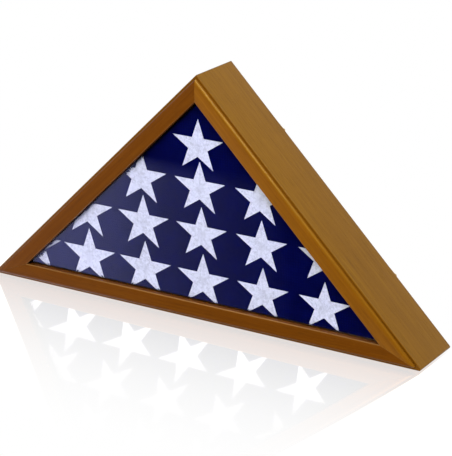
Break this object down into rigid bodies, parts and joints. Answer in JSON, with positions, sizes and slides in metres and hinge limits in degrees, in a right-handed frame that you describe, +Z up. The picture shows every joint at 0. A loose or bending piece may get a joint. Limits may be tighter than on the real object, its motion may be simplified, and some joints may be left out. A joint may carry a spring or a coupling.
{
  "type": "folded flag display case",
  "caption": "Triangular wooden display case with a glass front and a lift-out back held by turn buttons, with a folded flag inside.",
  "frame": {"origin": "middle of the footprint, on the surface that the case stands on; the footprint runs from the front of the face frame to the heads of the turn buttons' screws", "axes": "+X to the right of somebody who looks at the glass, -Y out of the glass, +Z up"},
  "size_m": [0.633, 0.0924, 0.3195],
  "materials": {
    "satin_wood": "satin golden-brown stain and lacquer, fine open grain along each piece",
    "bead_wood": "stained strip, matt",
    "spline_wood": "bare plywood",
    "glass": "clear float glass",
    "flag_cotton": "woven navy cotton with white embroidered stars",
    "hardboard": "smooth brown hardboard",
    "black_felt": "black felt, matt",
    "brass": "brass plate, lightly brushed"
  },
  "bodies": {
    "case": {"base_board": "satin_wood", "right_side_board": "satin_wood", "left_side_board": "satin_wood", "right_mitre_spline": "spline_wood", "apex_mitre_spline": "spline_wood", "left_mitre_spline": "spline_wood", "bottom_face_rail": "satin_wood", "right_face_rail": "satin_wood", "left_face_rail": "satin_wood", "glass_pane": "glass", "bottom_glazing_bead": "bead_wood", "right_glazing_bead": "bead_wood", "left_glazing_bead": "bead_wood", "folded_flag": "flag_cotton", "button_washer_bottom_left": "brass", "button_screw_bottom_left": "brass", "button_washer_bottom_right": "brass", "button_screw_bottom_right": "brass", "button_washer_right_lower": "brass", "button_screw_right_lower": "brass", "button_washer_right_upper": "brass", "button_screw_right_upper": "brass", "button_washer_left_upper": "brass", "button_screw_left_upper": "brass", "button_washer_left_lower": "brass", "button_screw_left_lower": "brass"},
    "back": {"back_board": "hardboard", "back_lining": "black_felt"},
    "button_bottom_left": {"turn_button_bottom_left": "brass"},
    "button_bottom_right": {"turn_button_bottom_right": "brass"},
    "button_right_lower": {"turn_button_right_lower": "brass"},
    "button_right_upper": {"turn_button_right_upper": "brass"},
    "button_left_upper": {"turn_button_left_upper": "brass"},
    "button_left_lower": {"turn_button_left_lower": "brass"}
  },
  "joints": [
    {"name": "back_board_slide", "type": "slide", "parent": "case", "child": "back", "axis": [0, 1, 0], "range_m": [0, 0.08]},
    {"name": "button_bottom_left_turn", "type": "hinge", "parent": "case", "child": "button_bottom_left", "pos_m": [-0.16138, 0.0421, 0.004], "axis": [0, -1, 0], "range_deg": [0, 90]},
    {"name": "button_bottom_right_turn", "type": "hinge", "parent": "case", "child": "button_bottom_right", "pos_m": [0.16138, 0.0421, 0.004], "axis": [0, -1, 0], "range_deg": [0, 90]},
    {"name": "button_right_lower_turn", "type": "hinge", "parent": "case", "child": "button_right_lower", "pos_m": [0.23586, 0.0421, 0.07848], "axis": [0, -1, 0], "range_deg": [0, 90]},
    {"name": "button_right_upper_turn", "type": "hinge", "parent": "case", "child": "button_right_upper", "pos_m": [0.07448, 0.0421, 0.23986], "axis": [0, -1, 0], "range_deg": [0, 90]},
    {"name": "button_left_upper_turn", "type": "hinge", "parent": "case", "child": "button_left_upper", "pos_m": [-0.07448, 0.0421, 0.23986], "axis": [0, -1, 0], "range_deg": [0, 90]},
    {"name": "button_left_lower_turn", "type": "hinge", "parent": "case", "child": "button_left_lower", "pos_m": [-0.23586, 0.0421, 0.07848], "axis": [0, -1, 0], "range_deg": [0, 90]}
  ]
}
